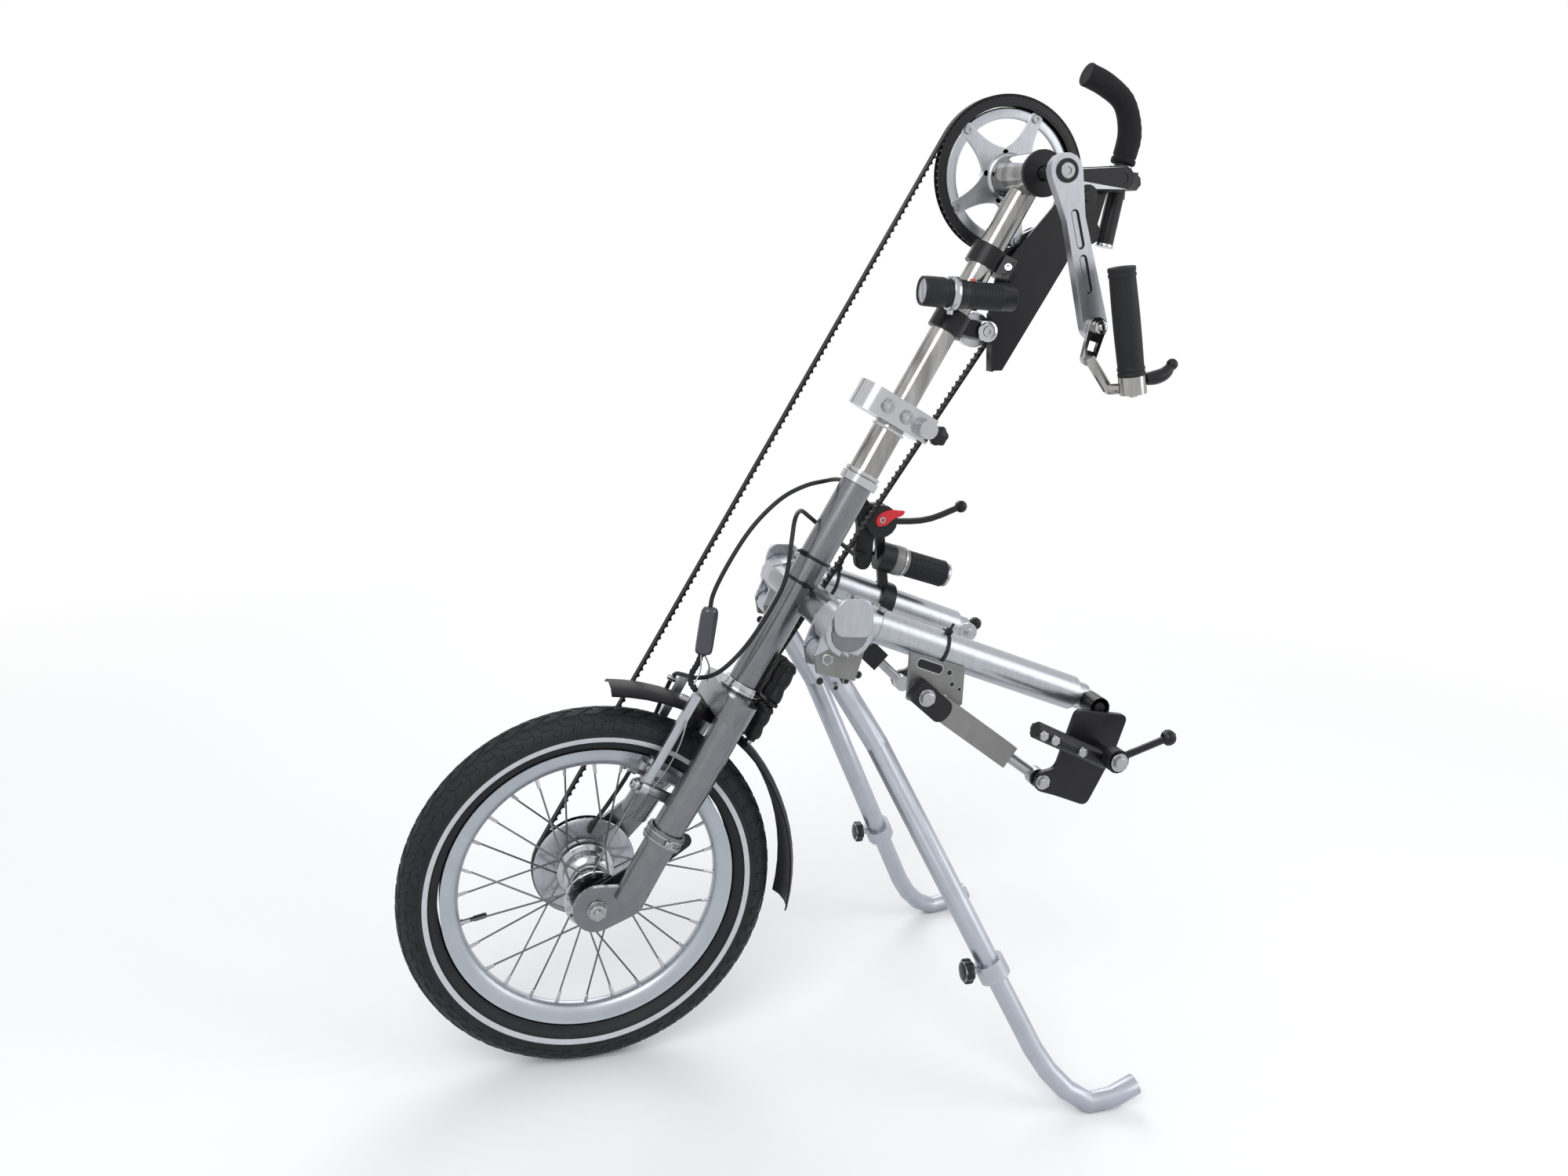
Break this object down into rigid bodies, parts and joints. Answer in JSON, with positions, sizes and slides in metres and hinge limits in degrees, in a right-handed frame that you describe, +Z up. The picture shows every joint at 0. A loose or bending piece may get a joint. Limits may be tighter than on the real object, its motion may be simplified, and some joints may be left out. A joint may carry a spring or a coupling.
{
  "type": "handcycle",
  "caption": "Clip-on handcycle for a wheelchair: a driven, steered front wheel, belt-drive hand cranks on a post, clamping arms and telescopic stand legs.",
  "frame": {"origin": "on the ground, at the middle of the bounding box", "axes": "+X to the rear, towards the wheelchair; +Y to the belt side; +Z up"},
  "size_m": [0.8818, 0.4734, 1.1586],
  "materials": {
    "frame_paint": "gunmetal grey metallic paint",
    "black_frame": "satin black coat",
    "bright_steel": "polished chrome",
    "silver_alloy": "satin",
    "steel_parts": "brushed",
    "black_plastic": "matte",
    "red_plastic": "matte",
    "grey_plastic": "matte",
    "tyre_rubber": "matte",
    "grip_rubber": "matte",
    "belt_rubber": "matte"
  },
  "bodies": {
    "main_frame": {"main_frame": "frame_paint", "headset_upper": "silver_alloy", "headset_lower": "silver_alloy", "near_arm_clamp": "silver_alloy", "far_arm_clamp": "silver_alloy", "near_arm_sleeve": "silver_alloy", "far_arm_sleeve": "silver_alloy", "lever_bracket": "black_plastic", "damper_upper": "grip_rubber", "brake_cable": "black_plastic", "gear_cable": "black_plastic"},
    "steering": {"fork": "frame_paint", "wheel_axle": "steel_parts", "reaction_arm": "black_frame", "damper_lower": "grip_rubber", "lower_post": "bright_steel", "stem_clamp": "silver_alloy", "upper_post": "bright_steel", "bracket_cup": "black_frame", "strap_clamp": "black_frame", "belt_guard": "black_frame", "idler_bracket": "black_frame", "headlight": "black_plastic", "mudguard": "black_plastic", "belt": "belt_rubber", "cable_splitter": "grey_plastic"},
    "wheel": {"tyre": "tyre_rubber", "rim": "silver_alloy", "hub_with_spokes": "silver_alloy", "wheel_pulley": "black_frame"},
    "cranks": {"crank_axle": "silver_alloy", "near_crank": "silver_alloy", "far_crank": "silver_alloy", "top_pulley": "black_frame", "pulley_spider": "silver_alloy"},
    "near_handle": {"near_handle_bracket": "bright_steel", "near_grip": "grip_rubber", "wrist_paddle": "black_frame"},
    "far_handle": {"far_handle_bracket": "black_frame", "far_grip": "grip_rubber"},
    "idler": {"idler_roller": "steel_parts"},
    "near_brake_arm": {"near_brake_arm": "silver_alloy"},
    "far_brake_arm": {"far_brake_arm": "silver_alloy"},
    "brake_lever": {"brake_lever": "black_frame"},
    "lock_lever": {"lock_lever": "red_plastic"},
    "shifter": {"shifter_grip": "grip_rubber"},
    "near_leg_upper": {"near_leg_upper": "silver_alloy"},
    "near_leg_lower": {"near_leg_lower": "silver_alloy"},
    "near_arm_slide": {"near_arm_slide": "silver_alloy"},
    "near_chair_clamp": {"near_chair_clamp": "black_frame"},
    "near_clamp_lever": {"near_clamp_lever": "black_frame"},
    "near_strut_rod": {"near_strut_rod": "steel_parts"},
    "near_strut_box": {"near_strut_box": "grey_plastic"},
    "far_leg_upper": {"far_leg_upper": "silver_alloy"},
    "far_leg_lower": {"far_leg_lower": "silver_alloy"},
    "far_arm_slide": {"far_arm_slide": "silver_alloy"},
    "far_chair_clamp": {"far_chair_clamp": "black_frame"},
    "far_clamp_lever": {"far_clamp_lever": "black_frame"},
    "far_strut_rod": {"far_strut_rod": "steel_parts"},
    "far_strut_box": {"far_strut_box": "grey_plastic"}
  },
  "joints": [
    {"name": "steering_turn", "type": "hinge", "parent": "main_frame", "child": "steering", "pos_m": [-0.20224, 0, 0.18347], "axis": [0.4658, 0, 0.8849], "range_deg": [-20, 20], "stiffness_Nm_per_rad": 12, "deforming": ["brake_cable", "gear_cable"]},
    {"name": "wheel_spin", "type": "hinge", "parent": "steering", "child": "wheel", "pos_m": [-0.23839, 0, 0.2025], "axis": [0, 1, 0], "continuous": true},
    {"name": "crank_spin", "type": "hinge", "parent": "steering", "child": "cranks", "pos_m": [0.22353, 0, 1.00355], "axis": [0, 1, 0], "continuous": true},
    {"name": "idler_spin", "type": "hinge", "parent": "steering", "child": "idler", "pos_m": [0.19273, 0.0505, 0.82652], "axis": [0, 1, 0], "continuous": true},
    {"name": "near_handle_spin", "type": "hinge", "parent": "cranks", "child": "near_handle", "pos_m": [0.27436, -0.092, 0.84133], "axis": [0, 1, 0], "continuous": true},
    {"name": "far_handle_spin", "type": "hinge", "parent": "cranks", "child": "far_handle", "pos_m": [0.39288, 0.092, 1.01837], "axis": [0, 1, 0], "continuous": true},
    {"name": "brake_squeeze", "type": "hinge", "parent": "main_frame", "child": "brake_lever", "pos_m": [0.10961, 0.098, 0.59], "axis": [0, 1, 0], "range_deg": [0, 20], "stiffness_Nm_per_rad": 1, "springref_deg": -14.32},
    {"name": "near_brake_swing", "type": "hinge", "parent": "steering", "child": "near_brake_arm", "pos_m": [-0.18882, -0.031, 0.32275], "axis": [0.8849, 0, -0.4658], "range_deg": [-2.2, 0.2]},
    {"name": "far_brake_swing", "type": "hinge", "parent": "steering", "child": "far_brake_arm", "pos_m": [-0.18882, 0.031, 0.32275], "axis": [0.8849, 0, -0.4658], "range_deg": [-0.2, 2.2]},
    {"name": "lock_press", "type": "hinge", "parent": "main_frame", "child": "lock_lever", "pos_m": [0.10961, 0.082, 0.598], "axis": [0, 1, 0], "range_deg": [0, 25]},
    {"name": "shifter_twist", "type": "hinge", "parent": "main_frame", "child": "shifter", "pos_m": [0.12961, 0.098, 0.541], "axis": [0.9613, 0, -0.2756], "range_deg": [-60, 60]},
    {"name": "near_leg_fold", "type": "hinge", "parent": "main_frame", "child": "near_leg_upper", "pos_m": [-0.02039, -0.1, 0.487], "axis": [0, 1, 0], "range_deg": [0, 80]},
    {"name": "near_leg_extend", "type": "slide", "parent": "near_leg_upper", "child": "near_leg_lower", "axis": [0.4552, -0.2331, -0.8594], "range_m": [-0.045, 0.06]},
    {"name": "near_arm_extend", "type": "slide", "parent": "main_frame", "child": "near_arm_slide", "axis": [0.9421, 0, -0.3354], "range_m": [0, 0.03]},
    {"name": "near_clamp_tilt", "type": "hinge", "parent": "near_arm_slide", "child": "near_chair_clamp", "pos_m": [0.28976, -0.14, 0.42768], "axis": [0, 1, 0], "range_deg": [-8, 8]},
    {"name": "near_clamp_close", "type": "hinge", "parent": "near_chair_clamp", "child": "near_clamp_lever", "pos_m": [0.28476, -0.196, 0.38768], "axis": [0, 1, 0], "range_deg": [-90, 0]},
    {"name": "near_strut_swing", "type": "hinge", "parent": "near_chair_clamp", "child": "near_strut_rod", "pos_m": [0.22276, -0.138, 0.35068], "axis": [0, 1, 0], "range_deg": [-16, 16]},
    {"name": "near_strut_slide", "type": "slide", "parent": "near_strut_rod", "child": "near_strut_box", "axis": [-0.8167, 0, 0.577], "range_m": [-0.02, 0.02]},
    {"name": "far_leg_fold", "type": "hinge", "parent": "main_frame", "child": "far_leg_upper", "pos_m": [-0.02039, 0.1, 0.487], "axis": [0, 1, 0], "range_deg": [0, 80]},
    {"name": "far_leg_extend", "type": "slide", "parent": "far_leg_upper", "child": "far_leg_lower", "axis": [0.4552, 0.2331, -0.8594], "range_m": [-0.045, 0.06]},
    {"name": "far_arm_extend", "type": "slide", "parent": "main_frame", "child": "far_arm_slide", "axis": [0.9421, 0, -0.3354], "range_m": [0, 0.03]},
    {"name": "far_clamp_tilt", "type": "hinge", "parent": "far_arm_slide", "child": "far_chair_clamp", "pos_m": [0.23889, 0.14, 0.4458], "axis": [0, 1, 0], "range_deg": [-8, 8]},
    {"name": "far_clamp_close", "type": "hinge", "parent": "far_chair_clamp", "child": "far_clamp_lever", "pos_m": [0.23389, 0.196, 0.4058], "axis": [0, 1, 0], "range_deg": [-90, 0]},
    {"name": "far_strut_swing", "type": "hinge", "parent": "far_chair_clamp", "child": "far_strut_rod", "pos_m": [0.17189, 0.138, 0.3688], "axis": [0, 1, 0], "range_deg": [-16, 16]},
    {"name": "far_strut_slide", "type": "slide", "parent": "far_strut_rod", "child": "far_strut_box", "axis": [-0.7402, 0, 0.6724], "range_m": [-0.02, 0.02]}
  ],
  "couplings": [
    {"joint": "crank_spin", "follows": "wheel_spin", "ratio": 0.61111},
    {"joint": "idler_spin", "follows": "wheel_spin", "ratio": 2.7194},
    {"joint": "near_brake_swing", "follows": "brake_squeeze", "ratio": -0.075},
    {"joint": "far_brake_swing", "follows": "brake_squeeze", "ratio": 0.075},
    {"joint": "near_strut_swing", "follows": "near_clamp_tilt", "ratio": -1.0613},
    {"joint": "near_strut_slide", "follows": "near_clamp_tilt", "m_per_rad": -0.10145},
    {"joint": "far_strut_swing", "follows": "far_clamp_tilt", "ratio": -0.9834},
    {"joint": "far_strut_slide", "follows": "far_clamp_tilt", "m_per_rad": -0.10197}
  ]
}
